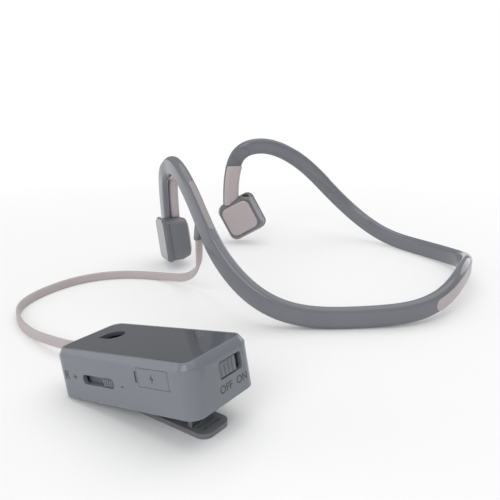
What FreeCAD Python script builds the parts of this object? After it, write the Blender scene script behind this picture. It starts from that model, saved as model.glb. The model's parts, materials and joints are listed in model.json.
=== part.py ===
import FreeCAD, Part
import math
import os

# Bone conduction headphones: a sprung neckband with two ear hooks and two transducer pods, joined by a
# flat cord to a small control box that stands on its open belt clip.
#
# Millimetres, +Z up from the surface that the set stands on. While it is built, X = 0 is the headset's
# plane of symmetry, +X is the wearer's left and -Y is the way the wearer faces. The finished model is
# moved so that its origin is the middle of the underside of its box, the cord left out.

os.makedirs("parts", exist_ok=True)

V = FreeCAD.Vector
UP = V(0, 0, 1)

# ---------------------------------------------------------------- headset sizes
BAND_HEIGHT = 8.8        # the strap, measured up the wearer's neck
BAND_THICK = 4.9
BAND_CORNER = 2.1
BAND_STATIONS = 29       # sections along the rear band
HOOK_STATIONS = 17       # sections along an ear hook
LINER_STATIONS = 9
CORNER_RAILS = 4         # lengthwise edges that round one corner of the strap

# Control points of the left half of the strap's centre line, from the middle of the back, down to the
# low point beside the neck and up over the ear. The right half is its mirror image.
HALF_PATH = [
    (0.0, 74.0, 15.3), (38.0, 69.5, 5.4), (55.0, 44.5, 4.5), (67.5, 22.0, 3.97), (73.5, 3.5, 11.0),
    (71.0, -14.5, 26.0), (63.5, -27.0, 42.0), (54.0, -40.5, 54.0), (42.0, -55.0, 59.0),
]
# The front legs spring apart unevenly as the set lies, so each side ends in its own way.
LEG_PATHS = {
    "left": [(30.8, -65.6, 50.5), (22.3, -70.0, 26.3)],
    "right": [(-34.5, -66.5, 50.5), (-31.5, -64.1, 22.6)],
}
PATH_DEGREE = 3

# Distances along the strap from the middle of the back.
SEAM_AT = 140.0          # where the rear band ends and the ear hook begins
SEAM_GAP = 0.05
TWIST_FROM = 192.0       # the hook's face turns from here towards the face of the pod
TWIST_TO = 214.0
THIN_FROM = 196.0        # the hook thins from here to make room for the soft liner
THIN_TO = 210.0
LEG_THICK = 3.3          # hard part of the front leg
LINER_THICK = 5.0        # soft part of the front leg
LINER_SPARE = 4.0        # drawn this much too long, then cut level at its top
LINER_TOP = 45.3         # height of the liner's level top end
LINER_SIDE_INSET = 0.25
SKIN_GAP = 0.05          # between two parts that lie skin to skin

CORE_RADIUS = 1.0        # memory wire in the rear band
CORE_CLEARANCE = 0.08

INLAY_DEPTH = 0.9
INLAY_PROUD = 0.12
INLAY_END_WIDTH = 0.8    # a rounded end starts this wide
INLAY_STEP = 4.0         # between an inlay's sections
HOOK_INLAY_WIDTH = 2.3
HOOK_INLAY_FROM = 144.4
HOOK_INLAY_TO = 169.4
REAR_INLAY_WIDTH = 5.6
REAR_INLAY_REACH = 36.3
REAR_INLAY_DROP = 0.5    # below the middle of the strap

# ---------------------------------------------------------------- pod sizes
POD_SIDE = 22.2
POD_CORNER = 4.2
# Each pod sits on the soft end of its leg and takes its own angle. Middle of the face, then degrees:
# toe-in from facing the other pod towards the wearer's back, face tilted up, turned in its own plane.
POD_POSES = {
    "left": ((15.8, -65.9, 15.2), 43.0, 5.0, 9.0),
    "right": ((-28.8, -56.9, 16.1), 19.0, 4.0, 29.0),
}
LEG_TOE_IN = 37.0        # degrees, the same for the flat of the front leg
FACE_TAPER = 1.2         # the housing is this much smaller all round at its face
FACE_TAPER_DEPTH = 4.2
FACE_EDGE = 0.5
HOUSING_DEPTH = 9.3
COVER_DEPTH = 3.2
COVER_OVERHANG = 0.3
COVER_DOME = 1.3         # the cover's rim is cut back this much all round
COVER_SEAT_EDGE = 0.4
POD_WALL = 1.3
PAD_SIDE = 17.2
PAD_CORNER = 3.6
PAD_THICK = 1.7
PAD_SEAT_DEPTH = 0.7
PAD_EDGE = 0.5
VENT_SIZE = (4.6, 1.1)   # small sound slot at the top corner of the pod's face
VENT_DEPTH = 3.0
VENT_SUNK = 0.6
VENT_INSET = 2.6         # from two sides of the face to its middle

YOKE_RADIUS = 7.0
YOKE_HEIGHT = 3.6
YOKE_WALL = 1.0
YOKE_FLOOR = 1.0
MAGNET_RADIUS = 4.2
MAGNET_HEIGHT = 1.6
COIL_INNER = 4.6
COIL_OUTER = 5.6
COIL_HEIGHT = 1.8

# ---------------------------------------------------------------- control box sizes
BOX_LENGTH = 57.0
BOX_WIDTH = 26.8
BOX_HEIGHT = 15.6
BOX_CORNER = 4.4
BOX_WALL = 1.5
BOX_FOOT_EDGE = 0.4      # bevel round the underside
BOX_SHOULDER = 2.0       # height of the sloping band below the cover
BOX_SHOULDER_INSET = 1.3
RIM_WIDTH = 0.7          # case rim that surrounds the cover
LEDGE_THICK = 1.2        # ledge inside the walls that carries the cover
COVER_SKIRT = 0.9        # the cover reaches into the case by this
COVER_THICK = 1.4
COVER_GAP = 0.12
COVER_EDGE = 0.25
SKIRT_WALL = 0.8
BOX_AT = (149.8, -24.9)  # corner of the box's foot: cord end, headphone wearer's left
BOX_YAW = 81.2           # degrees, the way its long side points
BOX_PITCH = 10.9         # degrees, the switch end is raised by the clip

MIC_AT = (11.5, 15.3)
MIC_HOLE_RADIUS = 3.5
MIC_TIP_REACH = 5.0      # the hole runs out to a point towards the near corner
MIC_TIP_ANGLE = 223.0
MESH_RADIUS = 5.4
MESH_THICK = 0.4
MIC_RADIUS = 3.0
MIC_HEIGHT = 4.0

BOARD_SIDE = 4.35                 # from the case's outside to the board, on both sides
BOARD_ENDS = (3.7, 2.8)           # and at the cord end and the switch end
BOARD_SIZE = (BOX_LENGTH - BOARD_ENDS[0] - BOARD_ENDS[1], BOX_WIDTH - 2 * BOARD_SIDE, 1.0)
BOARD_AT = (BOARD_ENDS[0], BOARD_SIDE, 7.7)
BATTERY_SIDE = 5.4
BATTERY_ENDS = (12.0, 11.0)
BATTERY_SIZE = (BOX_LENGTH - BATTERY_ENDS[0] - BATTERY_ENDS[1], BOX_WIDTH - 2 * BATTERY_SIDE, 6.1)
BATTERY_CORNER = 1.2
BATTERY_AT = (BATTERY_ENDS[0], BATTERY_SIDE, BOX_WALL + SKIN_GAP)

VOLUME_SLOT = (13.9, 3.0)
VOLUME_SLOT_AT = (19.7, 7.2)      # middle of the slot: along the box, up
VOLUME_SLOT_CORNER = 1.1
VOLUME_KNOB = (4.5, 2.6)
VOLUME_RIDGES = 5
SLIDER_CLEARANCE = 0.2
KNOB_SUNK = 0.25
KNOB_CORNER = 0.5
RIDGE_HEIGHT = 0.35
RIDGE_SHARE = 0.84        # of the knob's height
SLIDER_PLATE_THICK = 0.8
SLIDER_PLATE_LAP = 0.9            # the plate behind the wall laps the slot by this
SLIDER_PLATE_LENGTH = 9.0
POT_SIZE = (19.0, 1.6, 4.6)

POWER_SLOT = (9.8, 5.0)
POWER_SLOT_AT = (16.5, 9.6)       # middle of the slot: across the end, up
POWER_SLOT_CORNER = 0.9
POWER_KNOB = (7.3, 4.6)
POWER_RIDGES = 4
POWER_PLATE = (8.6, 6.6)
SWITCH_BODY = (3.6, 8.0, 3.5)

FLAP_SIZE = (11.8, 5.4)
FLAP_AT = (43.4, 10.7)            # middle of the flap: along the box, up
FLAP_THICK = 1.2
FLAP_GAP = 0.12
FLAP_PLUG = (6.4, 2.2, 0.6)
SOCKET_PAD = (16.0, 6.0, 1.6)     # thickened wall that carries the flap and socket
SOCKET_SIZE = (8.2, 7.4, 3.9)
SOCKET_WALL = 0.4
SOCKET_TONGUE = (5.6, 5.0, 0.9)
NOTCH_SIZE = (0.9, 3.4, 0.5)      # finger-nail notch beside the flap
NOTCH_GAP = 0.4

RELIEF_AT = (19.0, 7.8)           # middle of the strain relief on the end wall: across, up
RELIEF_LENGTH = 6.5
RELIEF_BASE = (3.6, 5.8)
RELIEF_TIP = (2.8, 4.8)
RELIEF_CORNER = 1.0
RELIEF_FLANGE = 0.9               # flange inside the wall
RELIEF_COLLAR = 0.85              # collar outside it
RELIEF_LAPS = (0.8, 0.6)          # how far the flange and the collar lap the opening

# ---------------------------------------------------------------- belt clip sizes
CLIP_AT = 30.0           # hinge, from the cord end of the box
PIN_DROP = 2.45          # hinge axis below the box's underside
PIN_RADIUS = 0.7
PIN_CLEARANCE = 0.05
PIN_LENGTH = 13.6
EAR_RADIUS = 1.5
EAR_THICK = 1.3
EAR_SPACING = 7.2        # between the middles of the two ears
BRACKET_SIZE = (14.0, 10.0, 0.9)
BRACKET_CORNER = 1.5
SCREW_SPACING = 10.6
SCREW_RADIUS = 0.7
SCREW_HEAD_RADIUS = 1.2
SCREW_HEAD_HEIGHT = 0.5
SCREW_SLOT = (1.5, 0.3, 0.25)
LUG_THICK = 1.4
LUG_SPACING = 10.3
LEVER_WIDTH = 11.8
LEVER_THICK = 1.5
LEVER_TAIL = 24.6        # ends of the lever, from the cord end of the box
LEVER_TIP = 52.3
LEVER_TIP_CORNER = 3.2
LEVER_TAIL_CORNER = 1.5
RIB_AT = 44.8            # gripping rib
RIB_THICK = 1.6
RIB_WIDTH = 9.4
RIB_BOW = 1.44
RIB_CLEARANCE = 0.3
GROOVES = 4              # grip grooves under the lever's tip
GROOVE_PITCH = 2.0
GROOVE_SIZE = (0.8, 0.4)
GROOVE_INSET = 2.4       # from the tip and from each side
SPRING_WIRE = 0.25       # radius
SPRING_TURNS = 3
SPRING_PITCH = 0.62
SPRING_CLEARANCE = 0.25
SPRING_LEG = 4.6
SPRING_SIDES = 6         # flats round the wire

# ---------------------------------------------------------------- cord sizes
CORD_RADIUS = 2.0
GLAND_AT = 151.0         # distance along the strap
GLAND_EXIT = (66.28, -25.65, 31.05)
GLAND_EXIT_SIZE = (4.4, 2.6)
GLAND_ROOT_SIZE = (4.0, 5.6)
GLAND_ROOT_DROP = 2.6    # the root lies inside the hook, this far below the strap's line
GLAND_CORNER = 1.1
CORD_FIRST_RUN = 8.6
CORD_LAST_RUN = 9.5
# Turning points of the cord as it lies, between its first and last run.
CORD_ROUTE = [
    (56.0, -32.5, 13.5), (48.5, -44.0, 4.8), (44.2, -60.0, 2.0), (49.5, -79.0, 2.0), (63.0, -92.5, 2.0),
    (83.0, -97.0, 2.0), (103.5, -94.0, 2.0), (116.5, -80.5, 2.0), (123.0, -66.0, 2.1), (127.4, -51.8, 4.0),
]
CORD_RUN_SHARE = 0.45    # an arc takes this share of its shorter run on each side


# ---------------------------------------------------------------- general shapes
def rounded_outline(origin, across, along, width, length, corner):
    """Rounded rectangle about a point, in the plane of two unit vectors."""
    half_w = width / 2
    half_l = length / 2
    r = min(corner, half_w * 0.98, half_l * 0.98)

    def at(a, b):
        return origin + across * a + along * b

    bend = r * (1 - math.sqrt(0.5))
    edges = []
    for a, b in ((1, 1), (-1, 1), (-1, -1), (1, -1)):
        start = at(a * half_w, b * (half_l - r)) if a * b > 0 else at(a * (half_w - r), b * half_l)
        end = at(a * (half_w - r), b * half_l) if a * b > 0 else at(a * half_w, b * (half_l - r))
        middle = at(a * (half_w - bend), b * (half_l - bend))
        edges.append(Part.Arc(start, middle, end).toShape())
    joined = []
    for number, arc in enumerate(edges):
        follower = edges[(number + 1) % 4]
        joined.append(arc)
        joined.append(Part.LineSegment(arc.valueAt(arc.LastParameter),
                                       follower.valueAt(follower.FirstParameter)).toShape())
    return Part.Wire(joined)


def stack(levels, corner):
    """Solid through rounded rectangles given as (height, half lengths and half widths cut back)."""
    wires = []
    for height, length, width, cut in levels:
        wires.append(rounded_outline(V(length / 2, width / 2, height), V(1, 0, 0), V(0, 1, 0),
                                     length - 2 * cut, width - 2 * cut, max(corner - cut, 0.3)))
    return Part.makeLoft(wires, True, True)


def slab(size, at, corner=0.0):
    """Box with its low corner at a point, its upright edges rounded."""
    solid = Part.makeBox(size[0], size[1], size[2], V(*at))
    if corner:
        upright = [e for e in solid.Edges if abs(e.tangentAt(e.FirstParameter).z) > 0.99]
        solid = solid.makeFillet(corner, upright)
    return solid


def rod(radius, length, at, along):
    return Part.makeCylinder(radius, length, at, along)


def moved(shape, placement):
    """Copy of a shape carried by a placement, with the move written into its geometry."""
    copy = shape.copy()
    copy.transformShape(placement.toMatrix(), True)
    return copy


def biggest(shape):
    return max(shape.Solids, key=lambda solid: solid.Volume)


# ---------------------------------------------------------------- the strap's line
def strap_line():
    left = [V(*point) for point in HALF_PATH]
    right = [V(-p.x, p.y, p.z) for p in reversed(left[1:])]
    poles = [V(*point) for point in reversed(LEG_PATHS["right"])] + right + left
    poles += [V(*point) for point in LEG_PATHS["left"]]
    spans = len(poles) - PATH_DEGREE
    mults = [PATH_DEGREE + 1] + [1] * (spans - 1) + [PATH_DEGREE + 1]
    line = Part.BSplineCurve()
    line.buildFromPolesMultsKnots(poles, mults, [float(k) for k in range(spans + 1)], False, PATH_DEGREE)
    return line


STRAP = strap_line()
STRAP_MIDDLE = STRAP.LastParameter / 2
LEG_END = {
    "left": STRAP.length(STRAP_MIDDLE, STRAP.LastParameter),
    "right": STRAP.length(0.0, STRAP_MIDDLE),
}
SIDES = {"left": 1, "right": -1}


def ease(value, low, high):
    """0 below low, 1 above high, smooth between."""
    share = min(max((value - low) / (high - low), 0.0), 1.0)
    return share * share * (3 - 2 * share)


def toe_direction(hand):
    """Level unit vector out of the flat back of a front leg. The hand is 1 on the left, -1 on the right."""
    angle = math.radians(LEG_TOE_IN)
    return V(hand * math.cos(angle), -math.sin(angle), 0)


def strap_frame(distance):
    """Point, direction, outward and upward unit vectors on the strap. The right side is negative."""
    parameter = STRAP.parameterAtDistance(distance, STRAP_MIDDLE) if distance else STRAP_MIDDLE
    parameter = min(max(parameter, 0.0), STRAP.LastParameter)
    point = STRAP.value(parameter)
    along = STRAP.tangent(parameter)[0]
    outward = V(-along.y, along.x, 0)
    outward.normalize()
    twist = ease(abs(distance), TWIST_FROM, TWIST_TO)
    outward = outward * (1 - twist) + toe_direction(math.copysign(1, distance)) * twist
    outward = outward - along * outward.dot(along)
    outward.normalize()
    return point, along, outward, along.cross(outward)


def strap_ring(distance, thick, height, outward_by=0.0, upward_by=0.0):
    """Points round the strap's section where its lengthwise edges pass."""
    point, _, outward, upward = strap_frame(distance)
    middle = point + outward * outward_by + upward * upward_by
    corner = min(BAND_CORNER, thick * 0.44, height * 0.44)
    ring = []
    for quarter, (a, b) in enumerate(((1, 1), (-1, 1), (-1, -1), (1, -1))):
        for rail in range(CORNER_RAILS):
            turn = math.radians(90 * (quarter + rail / (CORNER_RAILS - 1)))
            ring.append(middle + outward * (a * (thick / 2 - corner) + corner * math.cos(turn))
                        + upward * (b * (height / 2 - corner) + corner * math.sin(turn)))
    return ring


def round_ring(distance, radius, sides=10):
    point, _, outward, upward = strap_frame(distance)
    turns = [2 * math.pi * number / sides for number in range(sides)]
    return [point + outward * (radius * math.cos(turn)) + upward * (radius * math.sin(turn)) for turn in turns]


def solid_along(rings):
    """Solid whose lengthwise edges are smooth curves through rings of points, closed by flat ends."""
    rails = []
    for track in zip(*rings):
        curve = Part.BSplineCurve()
        curve.interpolate(list(track))
        rails.append(curve.toShape())
    faces = [Part.makeRuledSurface(rail, rails[(number + 1) % len(rails)]) for number, rail in enumerate(rails)]
    for ring in (rings[0], rings[-1]):
        faces.append(Part.Face(Part.makePolygon(ring + [ring[0]])))
    shell = Part.makeShell(faces)
    shell.sewShape()
    solid = Part.Solid(shell)
    if solid.Volume < 0:
        solid.reverse()
    return solid


def flat_section(distance, thick, height, outward_by, upward_by):
    """Plain rectangle in the strap's section plane."""
    point, _, outward, upward = strap_frame(distance)
    middle = point + outward * outward_by + upward * upward_by
    corners = [middle + outward * (a * thick / 2) + upward * (b * height / 2)
               for a, b in ((1, 1), (-1, 1), (-1, -1), (1, -1))]
    return Part.makePolygon(corners + [corners[0]])


def evenly(first, last, count):
    return [first + (last - first) * number / (count - 1) for number in range(count)]


# ---------------------------------------------------------------- rear band and hooks
def inlay(first, last, width, section, hand=1):
    """Strip with rounded ends, sunk into the strap. The section takes a distance and a width."""
    radius = width / 2
    end_step = radius * (1 - math.sqrt(1 - (INLAY_END_WIDTH / width) ** 2))
    rounding = [end_step, radius * 0.18, radius * 0.5, radius]
    stations = [first + step for step in rounding]
    steps = int((last - first) / INLAY_STEP)
    stations += evenly(first + radius, last - radius, steps)[1:-1]
    stations += [last - step for step in reversed(rounding)]
    wires = []
    for station in stations:
        inside = min(station - first, last - station, radius)
        chord = 2 * math.sqrt(max(radius ** 2 - (radius - inside) ** 2, 0.0))
        wires.append(section(hand * station, max(chord, INLAY_END_WIDTH)))
    return Part.makeLoft(wires, True, True)


def hook_inlay_section(distance, width):
    sunk = INLAY_DEPTH + INLAY_PROUD
    return flat_section(distance, width, sunk, 0.0, BAND_HEIGHT / 2 + INLAY_PROUD - sunk / 2)


def rear_inlay_section(distance, width):
    sunk = INLAY_DEPTH + INLAY_PROUD
    return flat_section(distance, sunk, width, BAND_THICK / 2 + INLAY_PROUD - sunk / 2, -REAR_INLAY_DROP)


def rear_band_parts():
    reach = SEAM_AT - SEAM_GAP / 2
    band = solid_along([strap_ring(d, BAND_THICK, BAND_HEIGHT) for d in evenly(-reach, reach, BAND_STATIONS)])
    strip = inlay(-REAR_INLAY_REACH, REAR_INLAY_REACH, REAR_INLAY_WIDTH, rear_inlay_section)
    core_reach = reach - SEAM_GAP
    core = solid_along([round_ring(d, CORE_RADIUS) for d in evenly(-core_reach, core_reach, BAND_STATIONS)])
    bore_reach = reach + 1.0
    bore = solid_along([round_ring(d, CORE_RADIUS + CORE_CLEARANCE)
                        for d in evenly(-bore_reach, bore_reach, BAND_STATIONS)])
    return band.cut(bore).cut(strip), core, strip


def leg_thinning(distance):
    """Thickness of the hard part and how far its middle lies outward."""
    share = ease(distance, THIN_FROM, THIN_TO)
    whole = LEG_THICK + SKIN_GAP + LINER_THICK
    thick = BAND_THICK + (LEG_THICK - BAND_THICK) * share
    return thick, (whole / 2 - LEG_THICK / 2) * share


def hook_shell(side):
    rings = []
    for distance in evenly(SEAM_AT + SEAM_GAP / 2, LEG_END[side], HOOK_STATIONS):
        thick, outward_by = leg_thinning(distance)
        rings.append(strap_ring(SIDES[side] * distance, thick, BAND_HEIGHT, outward_by))
    return solid_along(rings)


def hook_liner(side):
    """Soft pad on the inside of the front leg, cut off level at its top."""
    whole = LEG_THICK + SKIN_GAP + LINER_THICK
    inward_by = -(whole / 2 - LINER_THICK / 2)
    pad = solid_along([strap_ring(SIDES[side] * d, LINER_THICK, BAND_HEIGHT - 2 * LINER_SIDE_INSET, inward_by)
                       for d in evenly(THIN_TO - LINER_SPARE, LEG_END[side], LINER_STATIONS)])
    bounds = pad.BoundBox
    above = slab((bounds.XLength, bounds.YLength, bounds.ZMax), (bounds.XMin, bounds.YMin, LINER_TOP))
    return pad.cut(above)


# ---------------------------------------------------------------- pods
def pod_placement(side):
    """Carries a pod drawn at the origin, face up along +Z and its top edge at +Y, to its place."""
    face, toe_in, tilt, roll = POD_POSES[side]
    toe = math.radians(toe_in)
    rise = math.radians(tilt)
    turn = math.radians(roll)
    to_head = V(-SIDES[side] * math.cos(toe) * math.cos(rise), math.sin(toe) * math.cos(rise), math.sin(rise))
    level = UP.cross(to_head)
    level.normalize()
    steep = to_head.cross(level)
    top = steep * math.cos(turn) + level * (SIDES[side] * math.sin(turn))
    across = top.cross(to_head)
    matrix = FreeCAD.Matrix(across.x, top.x, to_head.x, face[0],
                            across.y, top.y, to_head.y, face[1],
                            across.z, top.z, to_head.z, face[2],
                            0, 0, 0, 1)
    return FreeCAD.Placement(matrix)


def square_stack(levels):
    """Solid through centred rounded squares given as (height, side, corner)."""
    wires = [rounded_outline(V(0, 0, z), V(1, 0, 0), V(0, 1, 0), side, side, corner)
             for z, side, corner in levels]
    return Part.makeLoft(wires, True, True)


def pod_parts():
    """Pod drawn with the plane of its face at z = 0 and its back towards -z."""
    face_side = POD_SIDE - 2 * FACE_TAPER
    outer = square_stack([
        (-HOUSING_DEPTH, POD_SIDE, POD_CORNER),
        (-FACE_TAPER_DEPTH, POD_SIDE, POD_CORNER),
        (-FACE_EDGE, face_side, POD_CORNER - FACE_TAPER / 2),
        (0.0, face_side - 2 * FACE_EDGE, POD_CORNER - FACE_TAPER),
    ])
    inner_side = POD_SIDE - 2 * POD_WALL - 2 * FACE_TAPER
    hollow = square_stack([
        (-HOUSING_DEPTH - 1, inner_side, POD_CORNER - POD_WALL),
        (-POD_WALL - PAD_SEAT_DEPTH, inner_side, POD_CORNER - POD_WALL),
    ])
    seat = square_stack([
        (-PAD_SEAT_DEPTH, PAD_SIDE + 2 * SKIN_GAP, PAD_CORNER),
        (1.0, PAD_SIDE + 2 * SKIN_GAP, PAD_CORNER),
    ])
    vent_at = face_side / 2 - VENT_INSET
    vent = slab((VENT_SIZE[0], VENT_SIZE[1], VENT_DEPTH), (0, 0, 0), VENT_SIZE[1] * 0.45)
    vent.translate(V(-VENT_SIZE[0] / 2, -VENT_SIZE[1] / 2, -VENT_SUNK))
    vent.rotate(V(0, 0, 0), UP, -45)
    vent.translate(V(vent_at, vent_at, 0))
    housing = outer.cut(hollow).cut(seat).cut(vent)

    pad = square_stack([
        (-PAD_SEAT_DEPTH + SKIN_GAP, PAD_SIDE, PAD_CORNER),
        (PAD_THICK - PAD_SEAT_DEPTH - PAD_EDGE, PAD_SIDE, PAD_CORNER),
        (PAD_THICK - PAD_SEAT_DEPTH, PAD_SIDE - 2 * PAD_EDGE, PAD_CORNER - PAD_EDGE),
    ])

    cover_top = -HOUSING_DEPTH - SKIN_GAP
    cover_side = POD_SIDE + 2 * COVER_OVERHANG
    cover = square_stack([
        (cover_top - COVER_DEPTH, cover_side - 2 * COVER_DOME, POD_CORNER - COVER_DOME),
        (cover_top - COVER_DEPTH + COVER_DOME * 0.35, cover_side - COVER_DOME * 0.9, POD_CORNER - COVER_DOME * 0.4),
        (cover_top - COVER_DEPTH + COVER_DOME, cover_side, POD_CORNER),
        (cover_top - COVER_SEAT_EDGE, cover_side, POD_CORNER),
        (cover_top, cover_side - 2 * COVER_SEAT_EDGE, POD_CORNER - COVER_SEAT_EDGE),
    ])
    cover_hollow = square_stack([
        (cover_top - COVER_DEPTH + POD_WALL + COVER_DOME * 0.5, inner_side, POD_CORNER - POD_WALL),
        (cover_top + 1, inner_side, POD_CORNER - POD_WALL),
    ])
    cover = cover.cut(cover_hollow)

    # The transducer hangs under the housing's face: a cup with its magnet, and a coil in the gap between.
    face_under = -POD_WALL - PAD_SEAT_DEPTH
    cup_bottom = face_under - YOKE_HEIGHT
    yoke = rod(YOKE_RADIUS, YOKE_HEIGHT, V(0, 0, cup_bottom), UP)
    yoke = yoke.cut(rod(YOKE_RADIUS - YOKE_WALL, YOKE_HEIGHT, V(0, 0, cup_bottom + YOKE_FLOOR), UP))
    magnet = rod(MAGNET_RADIUS, MAGNET_HEIGHT, V(0, 0, cup_bottom + YOKE_FLOOR), UP)
    coil = rod(COIL_OUTER, COIL_HEIGHT, V(0, 0, face_under - COIL_HEIGHT), UP)
    coil = coil.cut(rod(COIL_INNER, COIL_HEIGHT, V(0, 0, face_under - COIL_HEIGHT), UP))
    return {"pod_housing": housing, "pod_cover": cover, "contact_pad": pad, "transducer_yoke": yoke,
            "transducer_magnet": magnet, "transducer_coil": coil}, outer, cover


# ---------------------------------------------------------------- control box
def box_placement():
    """Carries the box, drawn with its cord end at x = 0 and its foot at z = 0, onto the surface."""
    pitch = math.radians(BOX_PITCH)
    lift = -BOX_FOOT_EDGE * min(math.sin(pitch), math.cos(pitch))
    stand = FreeCAD.Placement(V(BOX_AT[0], BOX_AT[1], lift), FreeCAD.Rotation(UP, BOX_YAW))
    return stand.multiply(FreeCAD.Placement(V(0, 0, 0), FreeCAD.Rotation(V(0, 1, 0), -BOX_PITCH)))


def clip_placement():
    """Carries the clip's lever, drawn lying on z = 0, onto the surface below the box."""
    return FreeCAD.Placement(V(BOX_AT[0], BOX_AT[1], 0), FreeCAD.Rotation(UP, BOX_YAW))


SHOULDER_AT = BOX_HEIGHT - BOX_SHOULDER
COVER_AT = BOX_HEIGHT - COVER_THICK
LEDGE_AT = COVER_AT - LEDGE_THICK
COVER_CUT = BOX_SHOULDER_INSET + RIM_WIDTH


def rounded_slot(length, height, depth, corner):
    """Slot cutter lying along X, cut along Y from y = 0, centred on x and z."""
    outline = rounded_outline(V(0, 0, 0), V(1, 0, 0), V(0, 0, 1), length, height, corner)
    return Part.Face(outline).extrude(V(0, depth, 0))


def box_case():
    body = stack([
        (0.0, BOX_LENGTH, BOX_WIDTH, BOX_FOOT_EDGE),
        (BOX_FOOT_EDGE, BOX_LENGTH, BOX_WIDTH, 0.0),
        (SHOULDER_AT, BOX_LENGTH, BOX_WIDTH, 0.0),
        (BOX_HEIGHT, BOX_LENGTH, BOX_WIDTH, BOX_SHOULDER_INSET),
    ], BOX_CORNER)
    inside = BOX_WALL + BOX_SHOULDER_INSET
    cavity = stack([
        (BOX_WALL, BOX_LENGTH, BOX_WIDTH, BOX_WALL),
        (LEDGE_AT, BOX_LENGTH, BOX_WIDTH, BOX_WALL),
    ], BOX_CORNER)
    throat = stack([
        (LEDGE_AT - 0.1, BOX_LENGTH, BOX_WIDTH, inside),
        (BOX_HEIGHT + 1, BOX_LENGTH, BOX_WIDTH, inside),
    ], BOX_CORNER)
    cavity = cavity.fuse(throat)
    cover_seat = stack([
        (COVER_AT, BOX_LENGTH, BOX_WIDTH, COVER_CUT),
        (BOX_HEIGHT + 1, BOX_LENGTH, BOX_WIDTH, COVER_CUT),
    ], BOX_CORNER)
    pad_low = (FLAP_AT[0] - SOCKET_PAD[0] / 2, BOX_WALL - 0.2, LEDGE_AT + 0.1 - SOCKET_PAD[1])
    socket_pad = slab((SOCKET_PAD[0], SOCKET_PAD[2] + 0.2, SOCKET_PAD[1]), pad_low)
    case = body.cut(cavity).fuse(socket_pad).cut(cover_seat)

    slot = rounded_slot(VOLUME_SLOT[0], VOLUME_SLOT[1], BOX_WALL + 2, VOLUME_SLOT_CORNER)
    for side_y in (-1.0, BOX_WIDTH - BOX_WALL - 1):
        cutter = slot.copy()
        cutter.translate(V(VOLUME_SLOT_AT[0], side_y, VOLUME_SLOT_AT[1]))
        case = case.cut(cutter)

    power = rounded_slot(POWER_SLOT[0], POWER_SLOT[1], BOX_WALL + 2, POWER_SLOT_CORNER)
    power.rotate(V(0, 0, 0), UP, 90)
    power.translate(V(BOX_LENGTH + 1, POWER_SLOT_AT[0], POWER_SLOT_AT[1]))
    case = case.cut(power)

    case = case.cut(flap_recess())
    passage_size = (SOCKET_SIZE[0] + 2 * SKIN_GAP, 6, SOCKET_SIZE[2] + 2 * SKIN_GAP)
    passage = slab(passage_size, (FLAP_AT[0] - passage_size[0] / 2, FLAP_THICK, FLAP_AT[1] - passage_size[2] / 2))
    case = case.cut(passage)
    notch = slab((NOTCH_SIZE[0], NOTCH_SIZE[2] + 1, NOTCH_SIZE[1]),
                 (FLAP_AT[0] - FLAP_SIZE[0] / 2 - NOTCH_SIZE[0] - NOTCH_GAP, -1.0, FLAP_AT[1] - NOTCH_SIZE[1] / 2))
    case = case.cut(notch)

    hole = rounded_slot(RELIEF_BASE[0], RELIEF_BASE[1], BOX_WALL + 2, RELIEF_CORNER)
    hole.rotate(V(0, 0, 0), UP, 90)
    hole.translate(V(BOX_WALL + 1, RELIEF_AT[0], RELIEF_AT[1]))
    case = case.cut(hole)
    for x in (CLIP_AT - SCREW_SPACING / 2, CLIP_AT + SCREW_SPACING / 2):
        case = case.cut(rod(SCREW_RADIUS, BOX_WALL + 2, V(x, BOX_WIDTH / 2, -1), UP))
    return case


def flap_recess():
    """Recess in the long wall, with a round end that takes the flap's barrel."""
    length, height = FLAP_SIZE
    radius = FLAP_THICK / 2
    low_x = FLAP_AT[0] - length / 2
    axis_x = FLAP_AT[0] + length / 2 - radius
    low_z = FLAP_AT[1] - height / 2 - FLAP_GAP
    flat = Part.makeBox(axis_x - low_x + FLAP_GAP, FLAP_THICK + FLAP_GAP + 1, height + 2 * FLAP_GAP,
                        V(low_x - FLAP_GAP, -1, low_z))
    barrel = rod(radius + FLAP_GAP, height + 2 * FLAP_GAP, V(axis_x, radius, low_z), UP)
    mouth = Part.makeBox(radius + FLAP_GAP, radius + 1, height + 2 * FLAP_GAP, V(axis_x, -1, low_z))
    return flat.fuse(barrel).fuse(mouth)


def charge_flap():
    length, height = FLAP_SIZE
    radius = FLAP_THICK / 2
    low_x = FLAP_AT[0] - length / 2
    axis_x = FLAP_AT[0] + length / 2 - radius
    low_z = FLAP_AT[1] - height / 2
    plate = Part.makeBox(axis_x - low_x, FLAP_THICK, height, V(low_x, 0, low_z))
    barrel = rod(radius, height, V(axis_x, radius, low_z), UP)
    plug = slab((FLAP_PLUG[0], FLAP_PLUG[2], FLAP_PLUG[1]),
                (FLAP_AT[0] - FLAP_PLUG[0] / 2, FLAP_THICK, FLAP_AT[1] - FLAP_PLUG[1] / 2))
    return plate.fuse(barrel).fuse(plug)


def flap_axis():
    """Point on the flap's hinge axis, in the box's own frame."""
    return V(FLAP_AT[0] + FLAP_SIZE[0] / 2 - FLAP_THICK / 2, FLAP_THICK / 2, FLAP_AT[1])


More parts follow.
